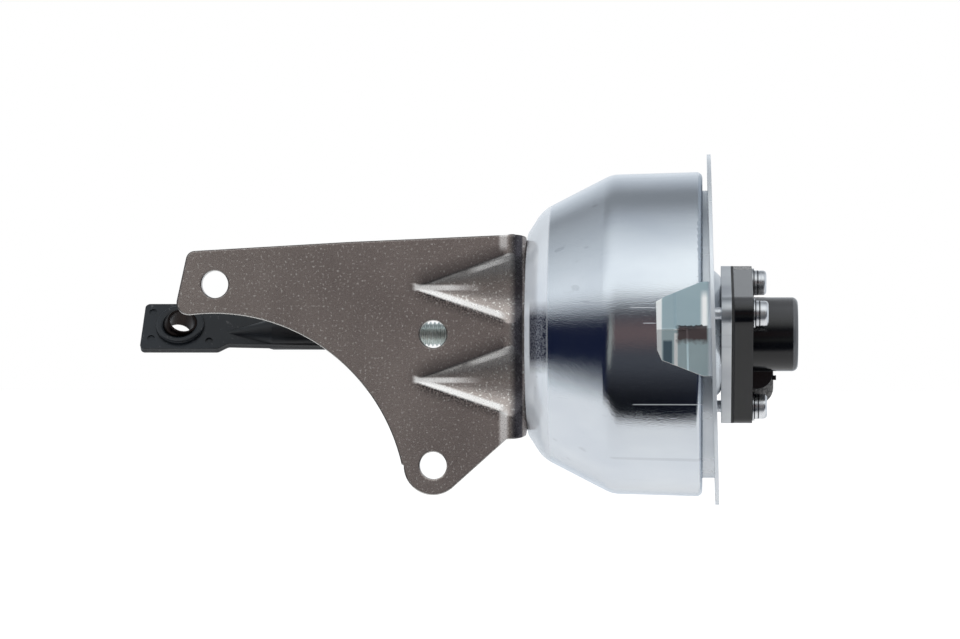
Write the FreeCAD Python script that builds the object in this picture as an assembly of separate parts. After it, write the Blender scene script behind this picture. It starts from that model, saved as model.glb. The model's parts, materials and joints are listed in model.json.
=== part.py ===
"""Wastegate actuator with position sensor: a spring-loaded diaphragm can on a stamped bracket.

All sizes are in millimetres. +X runs from the rod end to the sensor, +Z is up and +Y points away from
the bracket's face. The origin is the centre of the bracket's middle hole, on the bracket's front face.
The can, the rod and the sensor share one axis, which runs along X through (actuator_y, 0).
"""

import FreeCAD, Part
import math
import os

V = FreeCAD.Vector

# bracket
sheet = 2.5
actuator_y = 17.0
can_base_x = 22.0
bolt_hole_r = 3.25
upper_hole = (-52.2, 11.9)
lower_hole = (0.0, -31.2)
bracket_top_left = (-58.7, 19.8)
bracket_top_middle = (-20.0, 22.0)
bracket_top_z = 23.8
bracket_left_slant = 4.2
bracket_left_height = 19.0
bracket_bottom_z = -24.9
bracket_bottom_start_x = 17.5
clearance_arc_centre = (-52.4, -41.1)
clearance_arc_r = 46.05
lobe_r = 7.0
lobe_tangent_angle = -50.0
upper_corner_r = 2.2
lower_corner_r = 2.9
bend_inner_r = 2.0
flange_end_r = 21.0
dart_start_x = -5.1
dart_lift = 0.05
dart_z = 11.0
dart_half_angle = 34.0
dart_lean = 28.0
bush_hole_r = 7.0

# can, all x values counted from the can's base
can_wall = 1.0
can_r = 39.1
can_base_r = 24.4
can_base_round = 1.5
can_hip_x = 3.6
can_hip_r = 30.0
can_shoulder_x = 20.2
can_shoulder_r = 38.5
can_length = 41.9
can_shelf_r = 31.0
can_lip_round = 1.4
can_hip_round = 9.0
can_shoulder_round = 7.0
bush_seat_r = 5.5
stud_z = 16.0
stud_r = 2.5
stud_length = 8.0
stud_head_r = 4.4
stud_head_height = 1.3
nut_flats = 8.0
nut_height = 4.6
nut_flange_r = 5.3
nut_flange_height = 1.1
hole_gap = 0.2
margin = 1.0

# cover and its folded tabs
cover_wall = 0.9
diaphragm_wall = 0.8
diaphragm_fold_r = 1.2
diaphragm_flare = 9.0
diaphragm_roll_r = 6.0
crown_round = 2.0
neck_r = 34.6
cover_step = 1.3
brim_r = 42.2
brim_centre_z = 1.1
brim_tilt = 1.4
cover_fold_r = 0.6
dome_top_r = 13.8
dome_foot_r = 16.4
dome_rise = 2.8
dome_round = 1.6
cover_hole_r = 7.5
tab_reach = 13.5
tab_root_top = 12.3
tab_root_bottom = -9.5
tab_tip_top = 8.0
tab_tip_bottom = -5.6
tab_tip_step = 0.6
tab_tip_length = 4.6
tab_top_corner = (2.6, 9.3)
tab_tip_chamfer = (1.0, 2.4)
tab_lower_crease = 2.7
tab_fold_z = 1.5
tab_fold_angle = 12.0
tab_radius = 41.8
tab_bend_r = 2.1
tab_crease_r = 0.5
tab_angles = (180.0, 0.0)

# moving stack
stroke = 10.0
rod_r = 3.0
running_gap = 0.05
bush_flange_r = 8.5
bush_flange_height = 2.5
bush_nose = 5.0
bush_round = 0.5
seal_r = 4.6
seal_height = 1.5
cap_r = 6.6
cap_wall = 0.6
cap_gap = 0.2
stop_gap = 0.1
rod_collar_r = 5.0
rod_collar_height = 3.4
rod_neck_r = 2.4
rod_head_r = 4.2
rod_head_height = 2.0
retainer_r = 18.0
retainer_wall = 1.8
retainer_round = 0.8
piston_wall = 1.0
piston_r = 25.6
piston_end_gap = 3.1
soft_gap = 0.3
spring_wire_r = 1.2
spring_coil_r = 17.0
spring_turns = 6.0
spring_seat_wall = 1.0
spring_seat_lip = 3.0

# rod end, turned about the rod's axis
rod_end_turn = 40.0
plate_wall = 0.8
plate_left_x = -72.1
plate_left_slant = 0.1
plate_wide_end_x = -53.2
plate_narrow_x = -50.8
plate_end_x = -24.0
plate_wide_top = 8.9
plate_wide_bottom = -5.2
plate_narrow_top = 5.8
plate_narrow_bottom = -3.6
plate_end_top = 4.8
plate_end_bottom = -4.3
plate_corner_r = 1.2
pocket_tip_x = -53.5
pocket_full_x = -40.0
pocket_tip_r = 0.2
clinch_spots = ((-70.0, 6.4), (-69.7, -1.9), (-55.5, -2.7), (-55.0, 6.6))
clinch_r = 0.9
clinch_depth = 0.4
bearing_x = -62.9
bearing_v = 1.95
race_r = 5.2
race_flange_r = 5.9
race_half = 1.9
race_funnel_r = 4.7
race_round = 0.6
ball_r = 4.4
ball_half = 2.6
ball_bore_r = 3.05
ball_rest_tilt = 15.0
lock_nut_flats = 10.0
lock_nut_height = 5.0
nut_chamfer_depth = 0.5
nut_chamfer_length = 0.4

# sensor, all x values counted from the adapter plate's inner face
adapter_wall = 2.4
gasket_wall = 0.6
flange_wall = 4.5
ear_circle_r = 18.0
ear_r = 4.1
ear_angles = (44.0, 164.0, 284.0)
sensor_r = 8.9
sensor_length = 10.9
sensor_round = 1.4
sensor_wall = 1.5
sensor_cavity_r = 7.0
guide_height = 1.4
plunger_r = 3.4
plunger_bore_r = 2.2
plunger_floor = 4.4
plunger_round = 1.0
plunger_head_r = 5.4
plunger_head_height = 1.0
plunger_spring_wire_r = 0.25
plunger_spring_coil_r = 1.6
plunger_spring_turns = 16.0
track_offset = 5.9
track_width = 5.0
track_wall = 0.6
wiper_length = 1.2
wiper_height = 2.6
wiper_width = 1.6
wiper_wall = 0.25
screw_r = 1.45
screw_hole_r = 1.6
screw_head_r = 3.0
screw_head_height = 2.1
screw_head_round = 0.9
screw_tip = 1.8
driver_slot_length = 3.2
driver_slot_width = 0.7
driver_slot_depth = 1.2
spring_washer_r = 3.05
spring_washer_height = 0.95
spring_washer_slit = 0.6
slit_angle = 20.0
flat_washer_r = 3.5
flat_washer_height = 0.55
neck_down = 13.2
neck_up = 6.0
neck_width = 4.9
shroud_start_y = 9.0
shroud_end_y = 30.0
shroud_down = 17.2
shroud_up = 8.0
shroud_width = 5.2
shroud_round = 4.6
shroud_top_round = 2.4
inner_round = 0.5
shroud_wall = 1.0
shroud_depth = 12.0
pin_count = 3
pin_pitch = 6.0
pin_width = 2.0
pin_wall = 0.8
pin_length = 12.5
pin_root = 4.5
latch_width = 0.9
latch_height = 1.1
latch_length = 5.0
latch_z = -11.1

# vacuum nipple
nipple_rim_gap = 0.5
nipple_z = 10.5
nipple_r = 2.5
nipple_bore_r = 1.5
nipple_rise = 6.0
nipple_out = 0.8
nipple_bend_r = 4.0
nipple_flange_r = 4.2
nipple_flange_height = 0.9
barb_r = 3.0
barb_length = 2.2
barb_inset = 1.5

# places that follow from the sizes above
nipple_ring_r = neck_r - cover_wall - nipple_flange_r - nipple_rim_gap
nipple_y = math.sqrt(nipple_ring_r ** 2 - nipple_z ** 2)
bend_outer_r = bend_inner_r + sheet
rod_tip_x = pocket_full_x + plate_wall
rim_x = can_length + diaphragm_wall
brim_x = rim_x + cover_step
dome_x = rim_x + cover_wall + dome_rise
bush_stop_x = can_wall + bush_flange_height
collar_x = bush_stop_x + stop_gap
retainer_x = collar_x + rod_collar_height
crown_x = retainer_x + retainer_wall
piston_x = crown_x + diaphragm_wall
piston_height = rim_x - stroke - piston_end_gap - piston_x
rod_head_x = piston_x + piston_wall
plunger_tip_x = rod_head_x + rod_head_height + running_gap
gasket_x = dome_x + adapter_wall
flange_x = gasket_x + gasket_wall
sensor_x = flange_x + flange_wall
sensor_end_x = sensor_x + sensor_length
cavity_end_x = sensor_end_x - sensor_wall
plunger_head_x = flange_x + guide_height + running_gap
spring_washer_x = sensor_x + flat_washer_height
screw_head_x = spring_washer_x + spring_washer_height


def axis_place(shape):
    """Move a shape built about the X axis to the actuator's axis and base."""
    return shape.translated(V(can_base_x, actuator_y, 0))


def line(a, b):
    return Part.LineSegment(V(*a), V(*b)).toShape()


def rounded_edges(points, closed):
    """Edges through (x, y, radius) corners, each corner rounded by its radius."""
    count = len(points)
    corners = []
    for i, (x, y, radius) in enumerate(points):
        here = V(x, y, 0)
        if radius <= 0 or (not closed and i in (0, count - 1)):
            corners.append((here, None, here))
            continue
        before = V(*points[i - 1][:2], 0)
        after = V(*points[(i + 1) % count][:2], 0)
        back = (before - here).normalize()
        ahead = (after - here).normalize()
        half = back.getAngle(ahead) / 2
        cut = radius / math.tan(half)
        middle = (back + ahead).normalize()
        centre = here + middle * (radius / math.sin(half))
        corners.append((here + back * cut, centre - middle * radius, here + ahead * cut))
    edges = []
    last = count if closed else count - 1
    for i in range(count):
        start, top, end = corners[i]
        if top is not None:
            edges.append(Part.Arc(start, top, end).toShape())
        if i < last:
            following = corners[(i + 1) % count][0]
            if end.distanceToPoint(following) > 1e-6:
                edges.append(Part.LineSegment(end, following).toShape())
    return edges


def outline_face(points):
    """A flat face in XY from closed (x, y, radius) corners."""
    return Part.Face(Part.Wire(rounded_edges(points, True)))


def sheet_face(points, wall):
    """A strip of even thickness: the (x, y, radius) line is one side, the other lies to its right."""
    count = len(points)
    shifted = []
    for i in range(count):
        x, y, radius = points[i]
        here = V(x, y, 0)
        sides = []
        turn = 0.0
        if i > 0:
            sides.append((here - V(*points[i - 1][:2], 0)).normalize())
        if i < count - 1:
            sides.append((V(*points[i + 1][:2], 0) - here).normalize())
        normals = [V(s.y, -s.x, 0) for s in sides]
        if len(normals) == 2:
            turn = sides[0].x * sides[1].y - sides[0].y * sides[1].x
            middle = (normals[0] + normals[1]).normalize()
            offset = middle * (wall / middle.dot(normals[0]))
        else:
            offset = normals[0] * wall
        inner = radius
        if radius > 0:
            inner = max(radius + wall if turn > 0 else radius - wall, 0)
        moved = here + offset
        shifted.append((moved.x, moved.y, inner))
    outer = rounded_edges(points, False)
    inner = rounded_edges(shifted[::-1], False)
    first = V(*points[0][:2], 0)
    last = V(*points[-1][:2], 0)
    caps = [
        Part.LineSegment(last, V(*shifted[-1][:2], 0)).toShape(),
        Part.LineSegment(V(*shifted[0][:2], 0), first).toShape(),
    ]
    return Part.Face(Part.Wire(outer + [caps[0]] + inner + [caps[1]]))


def turned(face):
    """Turn a face in the XY half plane about the X axis, on the actuator's axis."""
    return axis_place(face.revolve(V(0, 0, 0), V(1, 0, 0), 360))


def disc(x, r, height, hole=0.0):
    """A round disc or ring on the actuator's axis, from x towards the sensor."""
    solid = Part.makeCylinder(r, height, V(x, 0, 0), V(1, 0, 0))
    if hole > 0:
        solid = solid.cut(Part.makeCylinder(hole, height, V(x, 0, 0), V(1, 0, 0)))
    return axis_place(solid)


def bar(x, y, z, r, length):
    """A round bar along X; y and z are counted from the actuator's axis."""
    return axis_place(Part.makeCylinder(r, length, V(x, y, z), V(1, 0, 0)))


def hexagon(x, y, z, flats, height):
    """A hexagonal prism along X, with two flats facing up and down."""
    corner = flats / 2 / math.cos(math.pi / 6)
    turns = [k * math.pi / 3 for k in range(7)]
    points = [V(x, y + corner * math.cos(turn), z + corner * math.sin(turn)) for turn in turns]
    return axis_place(Part.Face(Part.makePolygon(points)).extrude(V(height, 0, 0)))


def plate_prism(points, y, depth):
    """Extrude an outline given as (x, z, radius) corners from y backwards."""
    face = outline_face(points)
    face.rotate(V(0, 0, 0), V(1, 0, 0), 90)
    return face.extrude(V(0, depth, 0)).translated(V(0, y, 0))


def coil(x0, x1, coil_r, wire_r, turns):
    """A compression spring along X with flat ground ends."""
    pitch = (x1 - x0) / turns
    helix = Part.makeHelix(pitch, x1 - x0, coil_r)
    profile = Part.Wire(Part.makeCircle(wire_r, V(coil_r, 0, 0), V(0, 1, 0)))
    wire = Part.Wire(helix).makePipeShell([profile], True, True)
    wire.rotate(V(0, 0, 0), V(0, 1, 0), 90)
    wire = axis_place(wire.translated(V(x0, 0, 0)))
    return wire.common(disc(x0, coil_r + 2 * wire_r, x1 - x0))


def ear_centres():
    return [
        (ear_circle_r * math.cos(math.radians(a)), ear_circle_r * math.sin(math.radians(a)))
        for a in ear_angles
    ]


def ear_prism(x, height):
    """The three-eared outline shared by the adapter plate, the gasket and the sensor's flange."""
    centres = ear_centres()
    points = []
    for i, (y, z) in enumerate(centres):
        next_y, next_z = centres[(i + 1) % 3]
        along = V(0, next_y - y, next_z - z).normalize()
        out = V(0, along.z, -along.y) * ear_r
        points += [V(x, y, z) + out, V(x, next_y, next_z) + out]
    body = Part.Face(Part.makePolygon(points + [points[0]])).extrude(V(height, 0, 0))
    ears = [Part.makeCylinder(ear_r, height, V(x, y, z), V(1, 0, 0)) for y, z in centres]
    return axis_place(body.multiFuse(ears).removeSplitter())


def drill_ears(solid, r):
    for y, z in ear_centres():
        solid = solid.cut(bar(dome_x - margin, y, z, r, sensor_end_x - dome_x))
    return solid


def press_darts(solid, core):
    """Two shallow cone-shaped dents that stiffen the bend; their axes lean out of the sheet."""
    lean = math.radians(dart_lean)
    slope = math.tan(math.radians(dart_half_angle))
    reach = (can_base_x + margin - dart_start_x) / math.cos(lean)
    back = sheet / math.sin(math.radians(dart_half_angle))
    along = V(math.cos(lean), -math.sin(lean), 0)
    hollows = []
    for z in (dart_z, -dart_z):
        start = V(dart_start_x, -dart_lift, z)
        swelling = Part.makeCone(0, (reach + back) * slope, reach + back, start - along * back, along)
        hollows.append(Part.makeCone(0, reach * slope, reach, start, along))
        solid = solid.fuse(swelling.common(core))
    for hollow in hollows:
        solid = solid.cut(hollow)
    return solid


def left_end_edges(outline):
    """The edges that run through the sheet at the bracket's left end, lowest first."""
    edges = [
        e for e in outline.Edges
        if len(e.Vertexes) == 2
        and abs(e.Vertexes[0].Y - e.Vertexes[1].Y) > sheet
        and e.Vertexes[0].X < bracket_top_left[0] + upper_corner_r
    ]
    return sorted(edges, key=lambda e: e.Vertexes[0].Z)


def bracket_outline(depth):
    """The bracket as seen from its front, run back to depth, with its lobe and its cut-back arc."""
    lobe_tangent = math.radians(lobe_tangent_angle)
    lobe_centre = V(lower_hole[0], 0, lower_hole[1])
    arc_centre = V(clearance_arc_centre[0], 0, clearance_arc_centre[1])
    corners = [
        V(bracket_top_left[0], 0, bracket_top_left[1]),
        V(bracket_top_middle[0], 0, bracket_top_middle[1]),
        V(can_base_x, 0, bracket_top_z),
        V(can_base_x, 0, bracket_bottom_z),
        V(bracket_bottom_start_x, 0, bracket_bottom_z),
        lobe_centre + V(math.cos(lobe_tangent), 0, math.sin(lobe_tangent)) * lobe_r,
        lobe_centre,
        lobe_centre - V(lobe_r, 0, 0),
        V(bracket_top_left[0] - bracket_left_slant, 0, bracket_top_left[1] - bracket_left_height),
    ]
    outline = Part.Face(Part.makePolygon(corners + corners[:1])).extrude(V(0, depth, 0))
    lobe = Part.makeCylinder(lobe_r, depth, lobe_centre, V(0, 1, 0))
    arc = Part.makeCylinder(clearance_arc_r, depth, arc_centre, V(0, 1, 0))
    outline = outline.fuse(lobe).cut(arc).removeSplitter()
    outline = outline.makeFillet(lower_corner_r, left_end_edges(outline)[:1])
    return outline.makeFillet(upper_corner_r, left_end_edges(outline)[-1:])


def flange_area():
    """Where the bracket's flange lies: as high as the sheet at the bend, round at its far end."""
    bend_x = can_base_x - bend_outer_r
    corners = [
        V(bend_x, 0, bracket_bottom_z),
        V(bend_x, 0, bracket_top_z),
        V(bend_x, actuator_y, flange_end_r),
        V(bend_x, actuator_y, -flange_end_r),
    ]
    area = Part.Face(Part.makePolygon(corners + corners[:1])).extrude(V(bend_outer_r, 0, 0))
    return area.fuse(disc(-bend_outer_r, flange_end_r, bend_outer_r))


def make_bracket():
    depth = actuator_y + flange_end_r + margin
    low_z = lower_hole[1] - lobe_r - margin
    height = bracket_top_z + margin - low_z
    far_x = bracket_top_left[0] - bracket_left_slant - margin
    bend_line = [
        (can_base_x, depth, 0),
        (can_base_x, 0, bend_outer_r),
        (far_x, 0, 0),
    ]
    bent = sheet_face(bend_line, sheet).extrude(V(0, 0, height))
    core = outline_face(bend_line + [(far_x, depth, 0)]).extrude(V(0, 0, height))
    for shape in (bent, core):
        shape.translate(V(0, 0, low_z))
    plate_length = can_base_x - bend_outer_r - far_x
    plate_area = Part.makeBox(plate_length, depth, height, V(far_x, 0, low_z))
    solid = bent.common(bracket_outline(depth)).common(plate_area.fuse(flange_area()))
    solid = press_darts(solid, core)

    for x, z in (upper_hole, (0.0, 0.0), lower_hole):
        start = V(x, -margin, z)
        solid = solid.cut(Part.makeCylinder(bolt_hole_r, sheet + 2 * margin, start, V(0, 1, 0)))
    solid = solid.cut(bar(-sheet - margin, 0, 0, bush_hole_r, sheet + 2 * margin))
    for z in (stud_z, -stud_z):
        solid = solid.cut(bar(-sheet - margin, 0, z, stud_r + hole_gap, sheet + 2 * margin))
    return solid.removeSplitter()


def make_can_shell():
    line_points = [
        (0, bush_seat_r, 0),
        (0, can_base_r, can_base_round),
        (can_hip_x, can_hip_r, can_hip_round),
        (can_shoulder_x, can_shoulder_r, can_shoulder_round),
        (can_length, can_r, can_lip_round),
        (can_length, can_shelf_r, 0),
    ]
    shell = turned(sheet_face(line_points, can_wall))
    for z in (stud_z, -stud_z):
        shell = shell.cut(bar(-margin, 0, z, stud_r, can_wall + 2 * margin))
    return shell


def make_can_studs():
    studs = []
    for z in (stud_z, -stud_z):
        shank = bar(-stud_length, 0, z, stud_r, stud_length + can_wall)
        studs.append(shank.fuse(bar(can_wall, 0, z, stud_head_r, stud_head_height)).removeSplitter())
    return Part.makeCompound(studs)


def make_stud_nuts():
    nuts = []
    for z in (stud_z, -stud_z):
        body = hexagon(-sheet - nut_height, 0, z, nut_flats, nut_height)
        body = body.fuse(bar(-sheet - nut_flange_height, 0, z, nut_flange_r, nut_flange_height))
        rounding = bar(-sheet - nut_height, 0, z, nut_flange_r, nut_height)
        thread = bar(-sheet - nut_height - margin, 0, z, stud_r, nut_height + 2 * margin)
        nuts.append(body.common(rounding).cut(thread))
    return Part.makeCompound(nuts)


def tab_half(crease_x, low_z, high_z, fold):
    """One half of the folded tab, upper or lower, leaning back from the fold line by that angle."""
    root_x = brim_x + cover_wall
    tip_x = root_x - tab_reach
    outer_y = -tab_radius
    side = sheet_face(
        [
            (tip_x, outer_y + tab_tip_step, 0),
            (crease_x - tab_tip_step, outer_y + tab_tip_step, tab_crease_r),
            (crease_x, outer_y, tab_crease_r),
            (root_x, outer_y, tab_bend_r),
            (root_x, -neck_r, 0),
        ],
        -cover_wall,
    )
    half = side.extrude(V(0, 0, high_z - low_z)).translated(V(0, 0, low_z))
    half.rotate(V(0, outer_y, tab_fold_z), V(1, 0, 0), fold)
    return half


def make_tab(angle):
    """A tab folded from the brim over the can and creased lengthwise, with its tip stepped in."""
    root_x = brim_x + cover_wall
    tip_x = root_x - tab_reach
    crease_x = tip_x + tab_tip_length
    upper = tab_half(crease_x, tab_fold_z, tab_root_top + margin, -tab_fold_angle)
    lower = tab_half(crease_x + tab_lower_crease, tab_root_bottom - margin, tab_fold_z, tab_fold_angle)
    bend_x = root_x - cover_wall - tab_bend_r
    outline = [
        V(root_x + margin, 0, tab_root_top),
        V(bend_x, 0, tab_root_top),
        V(tip_x + tab_top_corner[0], 0, tab_top_corner[1]),
        V(tip_x, 0, tab_tip_top),
        V(tip_x, 0, tab_tip_bottom + tab_tip_chamfer[1]),
        V(tip_x + tab_tip_chamfer[0], 0, tab_tip_bottom),
        V(bend_x, 0, tab_root_bottom),
        V(root_x + margin, 0, tab_root_bottom),
    ]
    area = Part.Face(Part.makePolygon(outline + outline[:1])).extrude(V(0, -tab_radius - margin, 0))
    tab = upper.fuse(lower).common(area)
    tab.rotate(V(0, 0, 0), V(1, 0, 0), angle - tab_angles[0])
    return tab


def make_cover():
    """A shallow pan with a raised middle; its brim sits a little high and out of square."""
    inner_r = neck_r - cover_wall
    pan_points = [
        (rim_x + cover_wall, inner_r, 0),
        (rim_x + cover_wall, dome_foot_r, cover_fold_r),
        (dome_x, dome_top_r, dome_round),
        (dome_x, cover_hole_r, 0),
    ]
    pan = turned(sheet_face(pan_points, cover_wall))
    brim = Part.makeCylinder(brim_r, cover_wall, V(brim_x, 0, brim_centre_z), V(1, 0, 0))
    brim_hole_r = (inner_r + neck_r) / 2
    brim = brim.cut(Part.makeCylinder(brim_hole_r, cover_wall, V(brim_x, 0, 0), V(1, 0, 0)))
    rim = brim.multiFuse([make_tab(a) for a in tab_angles])
    below_brim = Part.makeCylinder(neck_r + margin, brim_x + cover_wall, V(0, 0, 0), V(1, 0, 0))
    for shape in (rim, below_brim):
        shape.rotate(V(brim_x, 0, 0), V(0, 1, 0), -brim_tilt)
    neck_length = brim_x + cover_wall - can_length + neck_r * math.sin(math.radians(brim_tilt))
    neck = disc(can_length, neck_r, neck_length + margin, inner_r).common(axis_place(below_brim))
    cover = neck.multiFuse([pan, axis_place(rim)])
    cover = cover.cut(bar(rim_x - margin, nipple_y, nipple_z, nipple_r, cover_wall + 2 * margin))
    return cover.removeSplitter()


def make_diaphragm():
    """The rolling diaphragm at rest: clamped rim, side wall down the piston, flat crown."""
    wall_r = piston_r + soft_gap + diaphragm_wall
    roll_r = can_shelf_r - soft_gap
    line_points = [
        (can_length, neck_r - cover_wall - soft_gap, 0),
        (can_length, roll_r - diaphragm_fold_r, diaphragm_fold_r),
        (can_length - diaphragm_flare, wall_r, diaphragm_roll_r),
        (crown_x, wall_r, crown_round),
        (crown_x, rod_neck_r, 0),
    ]
    return turned(sheet_face(line_points, -diaphragm_wall))


def make_piston_cup():
    line_points = [
        (piston_x + piston_height, piston_r, 0),
        (piston_x, piston_r, crown_round),
        (piston_x, rod_neck_r, 0),
    ]
    return turned(sheet_face(line_points, -piston_wall))


def make_retainer():
    line_points = [
        (retainer_x, rod_neck_r, 0),
        (retainer_x, retainer_r, retainer_round),
        (crown_x, retainer_r, 0),
        (crown_x, rod_neck_r, 0),
    ]
    return turned(outline_face(line_points))


def make_spring_seat():
    inner_r = spring_coil_r - spring_wire_r - spring_seat_wall
    ring = disc(rim_x - spring_seat_wall, spring_coil_r + spring_wire_r, spring_seat_wall, inner_r)
    lip = disc(rim_x - spring_seat_lip, inner_r + spring_seat_wall - soft_gap, spring_seat_lip, inner_r)
    return ring.fuse(lip).removeSplitter()


def make_return_spring():
    start = piston_x + piston_wall
    return coil(start, rim_x - spring_seat_wall, spring_coil_r, spring_wire_r, spring_turns)


def make_actuator_rod():
    start = rod_tip_x - can_base_x
    rod = bar(start, 0, 0, rod_r, retainer_x - start)
    collar = disc(collar_x, rod_collar_r, rod_collar_height)
    neck = disc(retainer_x, rod_neck_r, rod_head_x - retainer_x)
    head = disc(rod_head_x, rod_head_r, rod_head_height)
    return rod.multiFuse([collar, neck, head]).removeSplitter()


def make_guide_bush():
    bore = rod_r + running_gap
    line_points = [
        (-bush_nose, seal_r, 0),
        (-bush_nose, bush_seat_r, bush_round),
        (can_wall, bush_seat_r, 0),
        (can_wall, bush_flange_r, 0),
        (bush_stop_x, bush_flange_r, bush_round),
        (bush_stop_x, bore, 0),
        (seal_height - bush_nose, bore, 0),
        (seal_height - bush_nose, seal_r, 0),
    ]
    return turned(outline_face(line_points))


def make_rod_seal():
    return disc(-bush_nose, seal_r, seal_height, rod_r + running_gap)


def make_seal_cap():
    """The pressed cap that holds the seal in the bush."""
    front = disc(-bush_nose - cap_wall, cap_r, cap_wall, rod_r + cap_gap)
    skirt = disc(-bush_nose, cap_r, bush_nose - sheet - cap_wall, bush_seat_r)
    return front.fuse(skirt).removeSplitter()


def turn_rod_end(shape):
    """From flat, facing -Y, to the rod end's own angle about the rod's axis."""
    moved = shape.translated(V(0, actuator_y, 0))
    moved.rotate(V(0, actuator_y, 0), V(1, 0, 0), -rod_end_turn)
    return moved


def make_plate(front):
    """One of the two pressed plates that clamp the rod and the bearing between them."""
    sign = -1 if front else 1
    outline = [
        (plate_left_x + plate_left_slant, plate_wide_top, plate_corner_r),
        (plate_wide_end_x, plate_wide_top, plate_corner_r),
        (plate_narrow_x, plate_narrow_top, plate_corner_r),
        (plate_end_x, plate_end_top, 0),
        (plate_end_x, plate_end_bottom, 0),
        (plate_narrow_x, plate_narrow_bottom, plate_corner_r),
        (plate_wide_end_x, plate_wide_bottom, plate_corner_r),
        (plate_left_x - plate_left_slant, plate_wide_bottom, plate_corner_r),
    ]
    plate = plate_prism(outline, -plate_wall if front else 0, plate_wall)
    along = V(1, 0, 0)
    pocket_r = rod_r + plate_wall
    half_depth = pocket_r + margin
    half = Part.makeBox(
        plate_end_x - pocket_tip_x,
        half_depth,
        2 * half_depth,
        V(pocket_tip_x, -half_depth if front else 0, -half_depth),
    )
    nose_length = pocket_full_x - pocket_tip_x
    nose = Part.makeCone(pocket_tip_r, pocket_r, nose_length, V(pocket_tip_x, 0, 0), along)
    barrel = Part.makeCylinder(pocket_r, plate_end_x - pocket_full_x, V(pocket_full_x, 0, 0), along)
    hollow_tip = V(pocket_tip_x + plate_wall, 0, 0)
    hollow_nose = Part.makeCone(pocket_tip_r, rod_r, nose_length, hollow_tip, along)
    hollow = Part.makeCylinder(rod_r, plate_end_x - rod_tip_x, V(rod_tip_x, 0, 0), along)
    plate = plate.fuse(nose.fuse(barrel).common(half)).cut(hollow_nose.fuse(hollow))
    race_start = V(bearing_x, -plate_wall - margin, bearing_v)
    plate = plate.cut(Part.makeCylinder(race_r, 2 * plate_wall + 2 * margin, race_start, V(0, 1, 0)))
    for x, v in clinch_spots:
        face_y = sign * plate_wall
        spot = Part.makeCylinder(clinch_r, clinch_depth, V(x, face_y, v), V(0, 1, 0))
        if front:
            plate = plate.cut(spot)
        else:
            plate = plate.fuse(spot)
    return turn_rod_end(plate.removeSplitter())


def bearing_place(face, tilt=0.0):
    """Turn a face about X and stand it in the rod end, its axis along the plates' normal."""
    solid = face.revolve(V(0, 0, 0), V(1, 0, 0), 360)
    solid.rotate(V(0, 0, 0), V(0, 0, 1), -90 + tilt)
    return turn_rod_end(solid.translated(V(bearing_x, 0, bearing_v)))


def make_bearing_race():
    funnel_x = race_half - (race_funnel_r - ball_bore_r) / 2
    half = [
        (funnel_x, ball_bore_r, 0),
        (race_half, race_funnel_r, 0),
        (race_half, race_flange_r, race_round),
        (plate_wall, race_flange_r, 0),
        (plate_wall, race_r, 0),
    ]
    mirrored = [(-x, r, rounding) for x, r, rounding in half[::-1]]
    solid = bearing_place(outline_face(half + mirrored))
    centre = turn_rod_end(Part.Vertex(V(bearing_x, 0, bearing_v))).Point
    return solid.cut(Part.makeSphere(ball_r + running_gap, centre))


def make_bearing_ball():
    start = V(-ball_half, math.sqrt(ball_r ** 2 - ball_half ** 2), 0)
    end = V(ball_half, start.y, 0)
    edges = [
        Part.Arc(start, V(0, ball_r, 0), end).toShape(),
        Part.LineSegment(end, V(ball_half, ball_bore_r, 0)).toShape(),
        Part.LineSegment(V(ball_half, ball_bore_r, 0), V(-ball_half, ball_bore_r, 0)).toShape(),
        Part.LineSegment(V(-ball_half, ball_bore_r, 0), start).toShape(),
    ]
    return bearing_place(Part.Face(Part.Wire(edges)), ball_rest_tilt)


def make_lock_nut():
    x = plate_end_x - can_base_x
    body = hexagon(x, 0, 0, lock_nut_flats, lock_nut_height)
    corner = lock_nut_flats / 2 / math.cos(math.pi / 6)
    end_x = x + lock_nut_height
    flat_r = corner - nut_chamfer_depth
    chamfered = [
        (x, 0, 0),
        (x, flat_r, 0),
        (x + nut_chamfer_length, corner, 0),
        (end_x - nut_chamfer_length, corner, 0),
        (end_x, flat_r, 0),
        (end_x, 0, 0),
    ]
    body = body.common(turned(outline_face(chamfered)))
    return body.cut(bar(x - margin, 0, 0, rod_r, lock_nut_height + 2 * margin))


def make_adapter_plate():
    plate = drill_ears(ear_prism(dome_x, adapter_wall), screw_r)
    return plate.cut(disc(dome_x - margin, cover_hole_r, adapter_wall + 2 * margin))


def make_gasket():
    plate = drill_ears(ear_prism(gasket_x, gasket_wall), screw_hole_r)
    return plate.cut(disc(gasket_x - margin, cover_hole_r, gasket_wall + 2 * margin))


def connector_prism(width, down, up, y, depth, wall=0.0):
    """The connector's section in X and Z, with its outer corners rounded, run away from the axis."""
    x = sensor_x + wall
    inside = width - 2 * wall
    low_round = min(shroud_round, inside - 2 * inner_round)
    high_round = min(shroud_top_round, inside - 2 * inner_round)
    points = [
        (x, up - wall, inner_round),
        (x, -down + wall, inner_round),
        (x + inside, -down + wall, low_round),
        (x + inside, up - wall, high_round),
    ]
    return plate_prism(points, y, depth).translated(V(can_base_x, actuator_y, 0))


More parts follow.
